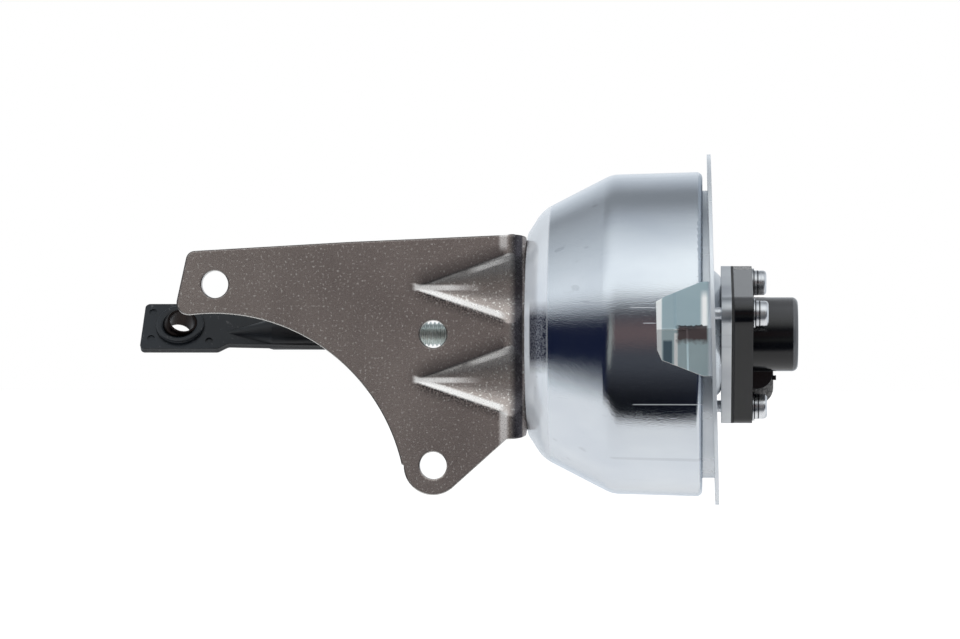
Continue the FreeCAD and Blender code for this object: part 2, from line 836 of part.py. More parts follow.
def make_sensor_housing():
    flange = drill_ears(ear_prism(flange_x, flange_wall), screw_hole_r)
    tower_points = [
        (flange_x, 0, 0),
        (flange_x, sensor_r, 0),
        (sensor_end_x, sensor_r, sensor_round),
        (sensor_end_x, 0, 0),
    ]
    tower = turned(outline_face(tower_points))
    neck = connector_prism(neck_width, neck_down, neck_up, 0, shroud_start_y + margin)
    shroud_length = shroud_end_y - shroud_start_y
    shroud = connector_prism(shroud_width, shroud_down, shroud_up, shroud_start_y, shroud_length)
    latch_x = can_base_x + sensor_x + neck_width
    latch_y = actuator_y + shroud_start_y - latch_length
    latch = Part.makeBox(latch_width, latch_length, latch_height, V(latch_x, latch_y, latch_z))
    body = flange.multiFuse([tower, neck, shroud, latch])
    socket_y = shroud_end_y - shroud_depth
    socket_length = shroud_depth + margin
    body = body.cut(
        connector_prism(shroud_width, shroud_down, shroud_up, socket_y, socket_length, shroud_wall)
    )
    body = body.cut(disc(flange_x - margin, sensor_cavity_r, cavity_end_x - flange_x + margin))
    for z in pin_places():
        body = body.cut(pin_box(z, socket_y - pin_root, pin_root + margin))
    return body.removeSplitter()


def pin_places():
    middle = (shroud_up - shroud_down) / 2
    return [middle + (k - (pin_count - 1) / 2) * pin_pitch for k in range(pin_count)]


def pin_box(z, y, length):
    x = can_base_x + sensor_x + shroud_width / 2 - pin_wall / 2
    return Part.makeBox(pin_wall, length, pin_width, V(x, actuator_y + y, z - pin_width / 2))


def make_connector_pins():
    start = shroud_end_y - shroud_depth - pin_root
    return Part.makeCompound([pin_box(z, start, pin_length) for z in pin_places()])


def make_plunger_guide():
    return disc(flange_x, sensor_cavity_r, guide_height, plunger_r + running_gap)


def make_sensor_plunger():
    """A hollow stem that rests on the rod's head, with a wide head inside the housing."""
    head_end_x = plunger_head_x + plunger_head_height
    stem_floor_x = plunger_tip_x + plunger_floor
    points = [
        (plunger_tip_x, 0, 0),
        (plunger_tip_x, plunger_r, plunger_round),
        (plunger_head_x, plunger_r, 0),
        (plunger_head_x, plunger_head_r, 0),
        (head_end_x, plunger_head_r, 0),
        (head_end_x, plunger_bore_r, 0),
        (stem_floor_x, plunger_bore_r, 0),
        (stem_floor_x, 0, 0),
    ]
    return turned(outline_face(points))


def make_plunger_spring():
    start = plunger_tip_x + plunger_floor
    return coil(start, cavity_end_x, plunger_spring_coil_r, plunger_spring_wire_r, plunger_spring_turns)


def make_resistor_track():
    x = can_base_x + flange_x + guide_height
    length = cavity_end_x - flange_x - guide_height
    corner = V(x, actuator_y - track_width / 2, track_offset)
    return Part.makeBox(length, track_width, track_wall, corner)


def make_wiper():
    """A bent contact finger on the plunger's head, running along the resistor track."""
    x = plunger_head_x + plunger_head_height
    rise = track_offset - running_gap
    foot = rise - wiper_height
    side = sheet_face(
        [
            (x, foot, 0),
            (x + wiper_wall, foot, 0),
            (x + wiper_length - 2 * wiper_wall, rise, wiper_wall),
            (x + wiper_length, rise - wiper_wall, 0),
        ],
        wiper_wall,
    )
    side.rotate(V(0, 0, 0), V(1, 0, 0), 90)
    return axis_place(side.extrude(V(0, wiper_width, 0)).translated(V(0, -wiper_width / 2, 0)))


def make_screws():
    screws = []
    top_x = screw_head_x + screw_head_height
    long_way = (driver_slot_length, driver_slot_width)
    for y, z in ear_centres():
        head = bar(screw_head_x, y, z, screw_head_r, screw_head_height)
        rim = [e for e in head.Edges if e.CenterOfMass.x > can_base_x + screw_head_x + screw_head_round]
        head = head.makeFillet(screw_head_round, rim)
        screw = head.fuse(bar(dome_x - screw_tip, y, z, screw_r, screw_head_x - dome_x + screw_tip))
        slot_x = can_base_x + top_x - driver_slot_depth
        for size_y, size_z in (long_way, long_way[::-1]):
            corner = V(slot_x, actuator_y + y - size_y / 2, z - size_z / 2)
            screw = screw.cut(Part.makeBox(driver_slot_depth + margin, size_y, size_z, corner))
        screws.append(screw.removeSplitter())
    return Part.makeCompound(screws)


def make_washers(x, r, height, slit):
    washers = []
    for y, z in ear_centres():
        ring = bar(x, y, z, r, height).cut(bar(x, y, z, screw_hole_r, height))
        if slit > 0:
            centre = V(can_base_x + x, actuator_y + y, z)
            gap = Part.makeBox(height, r, slit, centre - V(0, 0, slit / 2))
            gap.rotate(centre, V(0, 1, 0), slit_angle)
            ring = ring.cut(gap)
        washers.append(ring)
    return Part.makeCompound(washers)


def make_spring_washers():
    return make_washers(spring_washer_x, spring_washer_r, spring_washer_height, spring_washer_slit)


def make_flat_washers():
    return make_washers(sensor_x, flat_washer_r, flat_washer_height, 0)


def make_nipple():
    """A brazed elbow: out of the cover, then away from the bracket to a hose barb."""
    x = can_base_x + rim_x
    y = actuator_y + nipple_y
    rise_x = x + nipple_rise
    end_y = actuator_y + brim_r + nipple_out
    corner = nipple_bend_r * (1 - math.cos(math.pi / 4))
    edges = [
        line((x, y, nipple_z), (rise_x - nipple_bend_r, y, nipple_z)),
        Part.Arc(
            V(rise_x - nipple_bend_r, y, nipple_z),
            V(rise_x - corner, y + corner, nipple_z),
            V(rise_x, y + nipple_bend_r, nipple_z),
        ).toShape(),
        line((rise_x, y + nipple_bend_r, nipple_z), (rise_x, end_y, nipple_z)),
    ]
    path = Part.Wire(edges)

    def tube(r):
        ring = Part.Wire(Part.makeCircle(r, V(x, y, nipple_z), V(1, 0, 0)))
        return path.makePipeShell([ring], True, False)

    barb_y = end_y - barb_inset - barb_length
    barb = Part.makeCone(barb_r, nipple_r, barb_length, V(rise_x, barb_y, nipple_z), V(0, 1, 0))
    flange = bar(rim_x + cover_wall, nipple_y, nipple_z, nipple_flange_r, nipple_flange_height)
    body = tube(nipple_r).multiFuse([barb, flange])
    return body.cut(tube(nipple_bore_r)).removeSplitter()


parts = {
    "bracket": make_bracket(),
    "can_shell": make_can_shell(),
    "can_studs": make_can_studs(),
    "stud_nuts": make_stud_nuts(),
    "cover": make_cover(),
    "vacuum_nipple": make_nipple(),
    "diaphragm": make_diaphragm(),
    "piston_cup": make_piston_cup(),
    "diaphragm_retainer": make_retainer(),
    "return_spring": make_return_spring(),
    "spring_seat": make_spring_seat(),
    "actuator_rod": make_actuator_rod(),
    "guide_bush": make_guide_bush(),
    "rod_seal": make_rod_seal(),
    "seal_cap": make_seal_cap(),
    "rod_end_front_plate": make_plate(True),
    "rod_end_rear_plate": make_plate(False),
    "bearing_race": make_bearing_race(),
    "bearing_ball": make_bearing_ball(),
    "rod_lock_nut": make_lock_nut(),
    "adapter_plate": make_adapter_plate(),
    "sensor_gasket": make_gasket(),
    "sensor_housing": make_sensor_housing(),
    "connector_pins": make_connector_pins(),
    "plunger_guide": make_plunger_guide(),
    "sensor_plunger": make_sensor_plunger(),
    "plunger_spring": make_plunger_spring(),
    "resistor_track": make_resistor_track(),
    "wiper": make_wiper(),
    "sensor_screws": make_screws(),
    "spring_washers": make_spring_washers(),
    "flat_washers": make_flat_washers(),
}

os.makedirs("parts", exist_ok=True)
for name, shape in parts.items():
    shape.exportStep(os.path.join("parts", name + ".step"))
    print(name, "valid", shape.isValid(), "solids", len(shape.Solids), "volume", round(shape.Volume, 1))
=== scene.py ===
"""Dresses the wastegate actuator: plating, coatings and rubber on the solids, and new pieces where the
solids are plain or rigid: the threaded rod, both springs and the rolling diaphragm.

Sizes are in metres. +X runs along the actuator's axis to the sensor, +Y away from the camera and +Z up.
"""

import bpy
import json
import math
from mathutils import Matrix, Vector


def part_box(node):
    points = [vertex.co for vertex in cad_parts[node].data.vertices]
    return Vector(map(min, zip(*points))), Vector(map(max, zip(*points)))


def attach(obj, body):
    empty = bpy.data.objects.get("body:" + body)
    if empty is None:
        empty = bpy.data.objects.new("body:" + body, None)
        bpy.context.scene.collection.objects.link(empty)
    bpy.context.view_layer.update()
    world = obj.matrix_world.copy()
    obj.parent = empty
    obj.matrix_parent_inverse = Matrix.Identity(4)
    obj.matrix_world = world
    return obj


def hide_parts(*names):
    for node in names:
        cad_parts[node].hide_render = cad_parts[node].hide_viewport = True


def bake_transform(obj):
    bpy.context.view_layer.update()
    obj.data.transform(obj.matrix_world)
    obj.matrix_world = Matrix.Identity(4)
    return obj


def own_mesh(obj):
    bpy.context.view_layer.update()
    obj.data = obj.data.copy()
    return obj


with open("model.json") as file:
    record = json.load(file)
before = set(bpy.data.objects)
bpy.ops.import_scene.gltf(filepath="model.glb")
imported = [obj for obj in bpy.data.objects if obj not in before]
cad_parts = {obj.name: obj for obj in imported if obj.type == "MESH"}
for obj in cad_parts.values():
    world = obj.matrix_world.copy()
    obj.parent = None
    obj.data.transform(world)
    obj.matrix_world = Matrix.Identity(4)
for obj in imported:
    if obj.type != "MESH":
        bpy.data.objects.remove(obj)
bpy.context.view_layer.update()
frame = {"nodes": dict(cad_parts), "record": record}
nodes = frame["nodes"]
mm = 0.001

# the bracket's two darts: their height above and below the axis, their tip and how fast they widen
dart_z = 11.0 * mm
dart_tip_x = -5.1 * mm
dart_spread = 0.33

# the camera, worked out from the bracket's three holes
axis_y = 17.0 * mm
camera_place = Vector((63.55, -881.42, 3.54)) * mm
camera_target = Vector((10.18, 17.0, 3.54)) * mm
camera_lens = 139.46
camera_sensor = 36.0

# how far noise features are drawn out, along X or around the actuator's axis
along_x = (0.012, 1, 1)
long_along_x = (0.004, 1, 1)
around_x = (1, 0.05, 0.05)


class Look:
    """A material and short ways to write its nodes."""

    def __init__(self, name):
        self.material = bpy.data.materials.new(name)
        self.material.use_nodes = True
        self.tree = self.material.node_tree
        self.shader = self.tree.nodes["Principled BSDF"]
        self.place = self.tree.nodes.new("ShaderNodeTexCoord").outputs["Object"]

    def put(self, socket, value):
        if isinstance(value, bpy.types.NodeSocket):
            self.tree.links.new(value, socket)
        else:
            socket.default_value = value

    def add(self, kind, inputs, **settings):
        node = self.tree.nodes.new(kind)
        for key, value in settings.items():
            setattr(node, key, value)
        for key, value in inputs.items():
            self.put(node.inputs[key], value)
        return node

    def set(self, **values):
        for key, value in values.items():
            self.put(self.shader.inputs[key.replace("_", " ")], value)

    def noise(self, scale, stretch=(1, 1, 1), detail=3.0):
        """Noise with about scale features to the metre, drawn out where stretch is small."""
        mapping = self.add("ShaderNodeMapping", {"Vector": self.place, "Scale": stretch})
        inputs = {"Vector": mapping.outputs[0], "Scale": scale, "Detail": detail}
        return self.add("ShaderNodeTexNoise", inputs).outputs["Fac"]

    def remap(self, value, low, high, start=0.0, end=1.0):
        """From start where value is low to end where it is high; low may be the larger of the two."""
        inputs = {"Value": value, "From Min": low, "From Max": high, "To Min": start, "To Max": end}
        return self.add("ShaderNodeMapRange", inputs).outputs[0]

    def math(self, operation, a, b=0.0):
        return self.add("ShaderNodeMath", {0: a, 1: b}, operation=operation).outputs[0]

    def fold(self, operation, values):
        """The operation over two or more values, from left to right."""
        result = values[0]
        for value in values[1:]:
            result = self.math(operation, result, value)
        return result

    def times(self, *values):
        return self.fold("MULTIPLY", values)

    def total(self, *values):
        return self.fold("ADD", values)

    def largest(self, *values):
        return self.fold("MAXIMUM", values)

    def minus(self, a, b):
        return self.math("SUBTRACT", a, b)

    def away(self, value, middle):
        """How far value lies from middle."""
        return self.math("ABSOLUTE", self.minus(value, middle))

    def band(self, value, low, high, soft):
        """1 where value lies between low and high, fading out over soft beyond them."""
        return self.times(self.remap(value, low - soft, low), self.remap(value, high + soft, high))

    def mix(self, share, a, b):
        """Colour a where share is 0, b where it is 1."""
        node = self.add("ShaderNodeMix", {}, data_type="RGBA")
        self.put(node.inputs[0], share)
        self.put(node.inputs[6], a)
        self.put(node.inputs[7], b)
        return node.outputs[2]

    def mix_numbers(self, share, a, b):
        """Number a where share is 0, b where it is 1."""
        return self.add("ShaderNodeMix", {0: share, 2: a, 3: b}, data_type="FLOAT").outputs[0]

    def part(self, value, name):
        """One of X, Y and Z of a vector."""
        return self.add("ShaderNodeSeparateXYZ", {0: value}).outputs[name]

    def parts(self):
        """X, Y and Z of the place on the piece."""
        return [self.part(self.place, name) for name in "XYZ"]

    def rounded(self, width):
        """The surface's direction with the solid's edges rounded off, as a press or a mould leaves them."""
        return self.add("ShaderNodeBevel", {"Radius": width}, samples=8).outputs[0]

    def bump(self, height, depth, normal=None):
        inputs = {"Height": height, "Distance": depth, "Strength": 1.0}
        if normal is not None:
            inputs["Normal"] = normal
        return self.add("ShaderNodeBump", inputs).outputs[0]

    def finish(self, surface):
        """Shows surface instead of the shader."""
        self.put(self.tree.nodes["Material Output"].inputs["Surface"], surface)


def colour(r, g, b):
    """A colour as a picture shows it, from 0 to 255, for a shader."""
    parts = [c / 255 for c in (r, g, b)]
    return tuple(c / 12.92 if c <= 0.04045 else ((c + 0.055) / 1.055) ** 2.4 for c in parts) + (1.0,)


def plating(look, light, dark):
    """Tint, clouding, scratches and height of plated sheet, with ripples around the axis."""
    ripple = look.noise(700, around_x, 4.0)
    drawn = look.noise(1100, along_x, 3.0)
    scratch = look.remap(look.noise(420, long_along_x, 1.0), 0.68, 0.74)
    cloud = look.noise(70, (0.5, 1, 1), 4.0)
    tint = look.mix(look.remap(cloud, 0.3, 0.7), light, dark)
    tint = look.mix(look.times(scratch, 0.15), tint, colour(120, 124, 132))
    height = look.total(ripple, look.times(drawn, 0.25), look.times(cloud, 2.0))
    return tint, cloud, scratch, height


def plated_look(name, light, dark, rough, depth):
    """Bright plating over drawn sheet."""
    look = Look(name)
    tint, cloud, _, height = plating(look, light, dark)
    look.set(
        Base_Color=tint,
        Roughness=look.remap(cloud, 0.25, 0.75, rough * 0.7, rough * 1.4),
        Normal=look.bump(height, depth, look.rounded(0.2 * mm)),
    )
    look.shader.inputs["Metallic"].default_value = 1.0
    return look.material


def can_look():
    """Bright plating with a fine orange peel, scribed lines on the wall and a less metallic hip at the
    bracket, whose front carries a painted dark reflection.
    """
    look = Look("bright_zinc")
    hip_start, hip_end = 23.2 * mm, 27.9 * mm
    line_width = 0.1 * mm
    line_fade = 0.5 * mm
    tint, cloud, scratch, height = plating(look, colour(228, 234, 240), colour(214, 221, 230))
    peel = look.noise(3600, detail=2.0)
    place_x, place_y, place_z = look.parts()
    front = look.remap(place_y, 5.0 * mm, 0.0)
    hip = look.remap(place_x, hip_end, hip_end - 0.5 * mm)

    # painted reflection: navy on the front of the hip, where the wall faces the bracket's back
    speck = look.remap(look.noise(2600, detail=2.0), 0.4, 0.6, 1.0, 0.82)
    painted_reflection = look.times(look.band(place_z, -5.5 * mm, 4.0 * mm, 4.0 * mm), front, speck, hip)
    painted_reflection = look.times(painted_reflection, look.remap(place_x, hip_start, hip_start + 0.3 * mm))

    scribed = 0.0
    for height_z, start_x in ((6.3 * mm, 47.0 * mm), (2.7 * mm, 50.0 * mm), (-16.2 * mm, 47.5 * mm)):
        line = look.band(place_z, height_z - line_width / 2, height_z + line_width / 2, line_width)
        line = look.times(line, look.remap(place_x, start_x, start_x + line_fade))
        scribed = look.largest(line, scribed)
    scribed = look.times(scribed, front, look.remap(scratch, 0.0, 1.0, 0.7, 0.2))

    height = look.total(height, look.times(peel, 4.8))
    look.set(
        Base_Color=look.mix(painted_reflection, tint, colour(24, 28, 50)),
        Metallic=look.remap(look.largest(hip, scribed), 0.0, 1.0, 1.0, 0.25),
        Roughness=look.remap(cloud, 0.25, 0.75, 0.08, 0.16),
        Normal=look.bump(height, 0.006 * mm, look.rounded(0.2 * mm)),
    )
    return look.material


def cover_look():
    """Duller plating than the can's; the near tab carries a painted brown reflection in its fold, painted
    highlights at tip and root and further painted reflections on its face.
    """
    look = Look("cover_zinc")
    tab_y = -20.0 * mm
    tip_x = 54.7 * mm
    crease_start, crease_end = 57.5 * mm, 58.1 * mm
    crease_top = 0.6 * mm
    reflection_patch_x = (55.0 * mm, 56.8 * mm)
    reflection_patch_z = (-6.6 * mm, -1.6 * mm)
    root_x, root_z = 64.4 * mm, 5.5 * mm
    reflection_top, reflection_bottom = 2.3 * mm, -2.2 * mm
    tab_end = 65.6 * mm

    ripple = look.noise(700, around_x, 4.0)
    cloud = look.noise(70, (0.5, 1, 1), 4.0)
    clouding = look.remap(cloud, 0.3, 0.7)
    stray = look.times(look.minus(look.noise(900), 0.5), 1.6 * mm)
    rounded = look.rounded(0.25 * mm)
    level = look.part(rounded, "Z")
    place_x, place_y, place_z = look.parts()
    near_tab = look.remap(place_y, tab_y, tab_y - 1.0 * mm)
    near_tab = look.times(near_tab, look.remap(place_x, tab_end, tab_end - 0.6 * mm))

    # painted reflection: a dark brown band across the tab's fold
    reflection_z = look.total(place_z, stray)
    stain_and_painted_reflection = look.times(
        look.remap(reflection_z, reflection_top, reflection_top - 0.2 * mm),
        look.remap(reflection_z, reflection_bottom, reflection_bottom + 1.3 * mm),
        look.remap(look.total(place_x, stray), 57.7 * mm, 58.5 * mm, 0.0, 0.92),
        look.remap(place_x, 65.3 * mm, 64.8 * mm),
    )
    reflection_tint = look.mix(look.remap(reflection_z, 2.1 * mm, 1.0 * mm), colour(26, 22, 28), colour(84, 64, 64))

    # painted highlights: a streak at the tab's root, its tip, a line at its crease and faces turned down
    root = look.times(
        look.remap(look.away(place_x, root_x), 1.1 * mm, 0.3 * mm),
        look.remap(look.away(place_z, root_z), 5.0 * mm, 3.0 * mm),
    )
    tip = look.remap(place_x, tip_x, tip_x - 0.3 * mm, 0.0, 0.85)
    crease = look.band(place_x, crease_start, crease_end, 0.2 * mm)
    crease = look.times(crease, look.remap(place_z, crease_top, crease_top - 0.4 * mm))
    painted_highlights = look.largest(root, tip, crease, look.remap(level, -0.3, -0.55))

    # painted reflection: a dark blue-grey patch low on the tab
    reflection_patch = look.times(look.band(place_x, *reflection_patch_x, 0.3 * mm), look.band(place_z, *reflection_patch_z, 0.6 * mm))
    # painted reflection: a darker blue tone on the tab's upper half and on faces turned up
    painted_top_reflection = look.largest(look.remap(place_z, 1.3 * mm, 1.7 * mm, 0.0, 0.4), look.remap(level, 0.45, 0.65))

    plain = look.mix(clouding, colour(228, 233, 238), colour(208, 215, 222))
    # the tab's teal tone is partly the zinc's own tint and partly painted reflection
    tab_tint = look.mix(clouding, colour(190, 209, 213), colour(172, 193, 199))
    tab_tint = look.mix(reflection_patch, tab_tint, colour(92, 112, 124))
    tint = look.mix(near_tab, plain, tab_tint)
    tint = look.mix(look.times(near_tab, painted_top_reflection), tint, colour(104, 130, 146))
    tint = look.mix(look.times(near_tab, painted_highlights), tint, colour(250, 252, 252))
    tint = look.mix(look.times(near_tab, stain_and_painted_reflection), tint, reflection_tint)
    look.set(
        Base_Color=tint,
        Roughness=look.remap(cloud, 0.25, 0.75, 0.21, 0.4),
        Normal=look.bump(ripple, 0.008 * mm, rounded),
    )
    look.shader.inputs["Metallic"].default_value = 0.6
    return look.material


def coated_look(name, base, edge, rough, grain, depth):
    """A thin satin coating: fine orange peel, faint clouding and tiny pale rubs."""
    look = Look(name)
    peel = look.noise(grain, detail=2.0)
    cloud = look.noise(120, detail=5.0)
    rubs = look.remap(look.noise(900, (1, 1, 0.3), 2.0), 0.66, 0.74)
    tint = look.mix(look.remap(cloud, 0.35, 0.7), base, edge)
    look.set(
        Base_Color=look.mix(look.times(rubs, 0.25), tint, colour(120, 120, 122)),
        Roughness=look.remap(cloud, 0.3, 0.7, rough * 0.85, rough * 1.2),
        Normal=look.bump(peel, depth, look.rounded(0.25 * mm)),
    )
    look.shader.inputs["Metallic"].default_value = 0.0
    return look.material


def bracket_look():
    """Dark oiled phosphate on pressed sheet, full of fine bright specks.

    The cut edges carry painted highlights on faces turned down, where the steel is also uncoated, and
    painted shade on faces turned up. The darts have glints painted on their ridges and painted shade around
    them; the bend carries a painted dark reflection with painted highlights at its ends, and the front's
    rounded edges a painted dark line.
    """
    look = Look("bracket_steel")
    face_end = 17.5 * mm
    bend_start, bend_end = 17.9 * mm, 21.4 * mm
    bend_top, bend_bottom = 19.5 * mm, -17.5 * mm
    back_y = 12.0 * mm
    darts_end_z = 22.5 * mm

    cloud = look.noise(45, detail=5.0)
    grain = look.noise(3200, detail=2.0)
    sparkle = look.remap(look.noise(1700, detail=1.0), 0.6, 0.72)
    speckled = look.remap(look.noise(2300, detail=2.0), 0.44, 0.52)
    rounded = look.rounded(0.75 * mm)
    level = look.part(rounded, "Z")
    below = look.remap(level, -0.2, -0.55)
    above = look.remap(level, 0.6, 0.8)
    place_x, place_y, place_z = look.parts()
    front = look.remap(place_y, 0.4 * mm, 0.1 * mm)
    flat = look.remap(place_x, face_end, face_end - 1.0 * mm)
    on_darts = look.remap(look.math("ABSOLUTE", place_z), darts_end_z, darts_end_z - 1.5 * mm)

    # heights above and below the nearer dart's middle line, and above and below its edges
    beside = look.minus(look.math("FLOORED_MODULO", place_z, 2 * dart_z), dart_z)
    dart_edge = look.times(look.minus(place_x, dart_tip_x), dart_spread)
    over = look.minus(beside, dart_edge)
    under = look.minus(look.times(beside, -1.0), dart_edge)
    off_dart = look.largest(over, under, look.minus(dart_tip_x, place_x))
    clear_of_dart = look.remap(off_dart, 0.0, 0.4 * mm)

    shade = look.mix(look.remap(cloud, 0.35, 0.68), colour(170, 160, 156), colour(190, 180, 175))
    shade = look.mix(look.times(sparkle, 0.9), shade, colour(250, 247, 242))
    # painted shade on faces turned up, painted highlight on faces turned down
    shade = look.mix(above, shade, colour(96, 94, 94))
    shade = look.mix(below, shade, colour(244, 243, 240))

    # painted shade around each dart, mostly above it
    dart_shade = look.times(look.remap(over, 4.5 * mm, 0.0, 0.0, 0.75), look.remap(over, -0.6 * mm, 0.0))
    low_dart_shade = look.times(look.remap(under, 3.0 * mm, 0.0), look.remap(under, -0.4 * mm, 0.0), speckled)
    dart_shade = look.times(look.largest(dart_shade, low_dart_shade), front, flat, on_darts)
    dart_shade = look.times(dart_shade, look.remap(place_x, dart_tip_x - 1.5 * mm, dart_tip_x + 3.0 * mm))
    shade = look.mix(dart_shade, shade, colour(60, 58, 62))

    # painted shade: a dark line on the front face's rounded edges, except those turned down
    rim = look.times(look.remap(look.part(rounded, "Y"), -0.97, -0.9), look.remap(level, -0.45, -0.3))
    rim = look.times(rim, clear_of_dart, front, flat)
    shade = look.mix(rim, shade, colour(58, 57, 58))

    # painted highlights along the darts' lower edges, tips and upper edges, and at the bend's ends
    low_glint = look.band(under, -1.1 * mm, -0.2 * mm, 0.5 * mm)
    low_glint = look.times(low_glint, look.remap(place_x, face_end, face_end - 2.0 * mm))
    tip_glint = look.band(beside, -0.3 * mm, 0.5 * mm, 0.5 * mm)
    tip_glint = look.times(tip_glint, look.remap(place_x, 12.0 * mm, 4.0 * mm))
    top_glint = look.band(over, -1.0 * mm, -0.3 * mm, 0.4 * mm)
    top_glint = look.times(top_glint, look.band(place_x, 11.0 * mm, 15.5 * mm, 3.5 * mm), 0.6)
    glint = look.times(look.largest(low_glint, tip_glint, top_glint), on_darts)
    glint = look.times(glint, look.remap(place_x, dart_tip_x, dart_tip_x + 1.0 * mm))
    bend_end_glints = look.largest(
        look.remap(place_z, bend_top, bend_top + 1.5 * mm),
        look.remap(place_z, bend_bottom, bend_bottom - 1.5 * mm),
    )
    bend_end_glints = look.times(bend_end_glints, look.band(place_x, 16.2 * mm, 17.4 * mm, 0.7 * mm), 0.7)
    glint = look.times(look.largest(glint, bend_end_glints), look.remap(cloud, 0.3, 0.6, 0.55, 0.9))
    glint = look.times(glint, look.remap(place_y, back_y, back_y - 3.0 * mm))
    shade = look.mix(glint, shade, colour(246, 246, 245))

    # painted reflection: the bend darkened to navy
    bend = look.times(
        look.remap(place_x, bend_start, bend_start + 1.7 * mm, 0.0, 0.85),
        look.remap(place_x, bend_end, bend_end - 0.4 * mm),
    )
    uncoated_edge_and_glint = look.largest(look.times(below, clear_of_dart), glint)
    look.set(
        Base_Color=look.mix(bend, shade, colour(36, 38, 52)),
        Metallic=look.remap(uncoated_edge_and_glint, 0.0, 1.0, 0.88, 0.3),
        Roughness=look.remap(grain, 0.3, 0.7, 0.24, 0.36),
        Normal=look.bump(grain, 0.04 * mm, rounded),
    )
    return look.material


def plastic_look(name, base, tint, rough, grain, depth):
    """Moulded plastic: a faint flow pattern under a fine mould grain."""
    look = Look(name)
    flow = look.noise(60, (1, 1, 0.4), 5.0)
    texture = look.noise(grain, detail=2.0)
    look.set(
        Base_Color=look.mix(look.remap(flow, 0.35, 0.7), base, tint),
        Roughness=look.remap(texture, 0.3, 0.7, rough * 0.8, rough * 1.2),
        Normal=look.bump(texture, depth),
    )
    look.shader.inputs["IOR"].default_value = 1.5
    return look.material


def sensor_look():
    """Glossy black moulding with a painted highlight on its end ring and a painted sheen on faces turned
    up; the connector's shroud is stippled, its grey a painted reflection.
    """
    look = Look("black_gloss")
    shroud_start = axis_y + 8.8 * mm
    ring_width = 1.3 * mm
    cap_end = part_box("sensor_housing")[1].x
    flow = look.noise(60, (1, 1, 0.4), 5.0)
    fine = look.noise(2400, detail=2.0)
    stipple = look.noise(2200, detail=2.0)
    rounded = look.rounded(0.3 * mm)
    place_x, place_y, _ = look.parts()
    shroud = look.remap(place_y, shroud_start, shroud_start + 0.1 * mm)
    ring = look.remap(place_x, cap_end - ring_width, cap_end - ring_width + 0.2 * mm)
    painted_top_sheen = look.remap(look.part(rounded, "Z"), 0.3, 0.7, 0.0, 0.3)
    gloss = look.mix(look.remap(flow, 0.35, 0.7), colour(4, 5, 8), colour(9, 10, 14))
    # painted highlight on the end ring
    gloss = look.mix(ring, gloss, colour(84, 86, 90))
    # painted sheen: lighter grey on faces turned up
    gloss = look.mix(painted_top_sheen, gloss, colour(124, 125, 128))
    # the shroud's grey is a painted reflection of the floor; its stipple is real grain
    painted_shroud_reflection = look.mix(look.remap(stipple, 0.4, 0.6), colour(112, 112, 113), colour(158, 158, 158))
    height = look.total(look.times(fine, 0.1), look.times(shroud, stipple))
    look.set(
        Base_Color=look.mix(shroud, gloss, painted_shroud_reflection),
        Roughness=look.mix_numbers(shroud, look.remap(fine, 0.3, 0.7, 0.14, 0.22), 0.55),
        Normal=look.bump(height, 0.04 * mm, rounded),
    )
    look.shader.inputs["IOR"].default_value = 1.5
    return look.material


def rubber_look():
    """Black rubber over fabric, with a faint grey bloom."""
    look = Look("rubber_black")
    fabric = look.noise(3000, detail=1.0)
    bloom = look.noise(150, detail=5.0)
    look.set(
        Base_Color=look.mix(look.remap(bloom, 0.45, 0.75), colour(34, 34, 35), colour(58, 57, 56)),
        Roughness=look.remap(bloom, 0.3, 0.7, 0.55, 0.8),
        Normal=look.bump(fabric, 0.03 * mm),
    )
    return look.material


def turned_look(name, light, dark, rough, lines):
    """Turned or wound metal: fine marks around the axis."""
    look = Look(name)
    marks = look.noise(lines, (1, 0.06, 0.06), 3.0)
    stain_and_painted_reflection = look.noise(220, detail=5.0)
    look.set(
        Base_Color=look.mix(look.remap(stain_and_painted_reflection, 0.35, 0.72), light, dark),
        Roughness=look.remap(marks, 0.3, 0.7, rough * 0.7, rough * 1.3),
        Normal=look.bump(marks, 0.01 * mm, look.rounded(0.15 * mm)),
    )
    look.shader.inputs["Metallic"].default_value = 1.0
    return look.material


def fastener_look():
    """Bright plating on turned parts, with shadowed seams between the sensor's stacked washers."""
    look = Look("fastener_zinc")
    seam_width = 0.2 * mm
    marks = look.noise(2500, (1, 0.06, 0.06), 3.0)
    stain_and_painted_reflection = look.noise(220, detail=5.0)
    place_x = look.part(look.place, "X")
    flat_low, flat_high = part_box("flat_washers")
    seam = 0.0
    for x in (flat_low.x, flat_high.x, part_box("spring_washers")[1].x):
        seam = look.largest(look.remap(look.away(place_x, x), seam_width, seam_width * 0.4), seam)
    tint = look.mix(look.remap(stain_and_painted_reflection, 0.35, 0.72), colour(238, 240, 243), colour(202, 205, 210))
    look.set(
        Base_Color=look.mix(seam, tint, colour(24, 24, 28)),
        Roughness=look.remap(marks, 0.3, 0.7, 0.2, 0.42),
        Normal=look.bump(marks, 0.02 * mm, look.rounded(0.2 * mm)),
    )
    look.shader.inputs["Metallic"].default_value = 1.0
    return look.material


def track_look():
    """A green resistor board with two dark printed tracks along the axis."""
    look = Look("track_board")
    track_off = 1.1 * mm
    half_track = 0.7 * mm
    from_track = look.away(look.away(look.part(look.place, "Y"), axis_y), track_off)
    printed = look.remap(from_track, half_track, half_track - 0.1 * mm)
    grain = look.noise(2500, detail=2.0)
    look.set(
        Base_Color=look.mix(printed, colour(40, 92, 64), colour(26, 26, 28)),
        Roughness=look.remap(grain, 0.3, 0.7, 0.4, 0.6),
        Normal=look.bump(grain, 0.01 * mm),
    )
    return look.material


